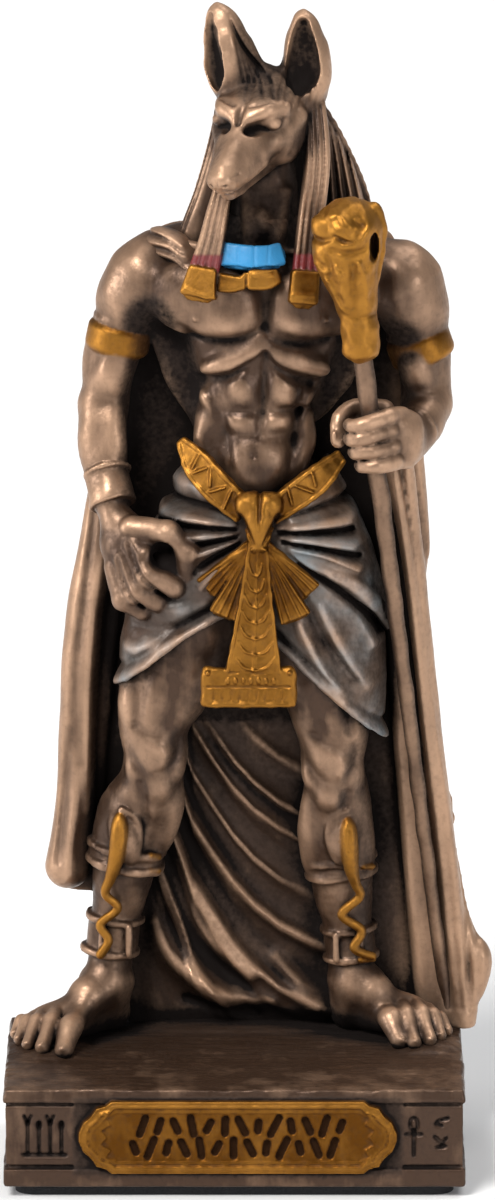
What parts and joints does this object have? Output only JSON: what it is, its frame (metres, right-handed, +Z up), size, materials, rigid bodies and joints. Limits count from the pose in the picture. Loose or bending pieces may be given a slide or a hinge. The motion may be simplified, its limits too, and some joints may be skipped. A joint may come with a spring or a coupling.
{
  "type": "standing deity statuette",
  "caption": "Jackal-headed Egyptian god standing with a staff, caped and kilted, a small bronzed resin casting on a block plinth with a raised name plaque.",
  "frame": {"origin": "centre of the underside of the pad, on the surface it stands on", "axes": "+Z up, the god faces -Y, the staff is on the +X side"},
  "size_m": [0.0378, 0.0212, 0.0897],
  "materials": {
    "anubis_figure": "bronze-coloured cold-cast resin with dark wash in the recesses and rubbed high points; gilt sash, trims, snakes and staff head, blue-grey kilt, blue collar and dark red bands",
    "plinth": "dark bronze-coloured resin, rubbed edges, gilt plaque",
    "felt_pad": "black felt"
  },
  "bodies": {
    "root": {"anubis_figure": "anubis_figure", "plinth": "plinth", "felt_pad": "felt_pad"}
  },
  "joints": []
}
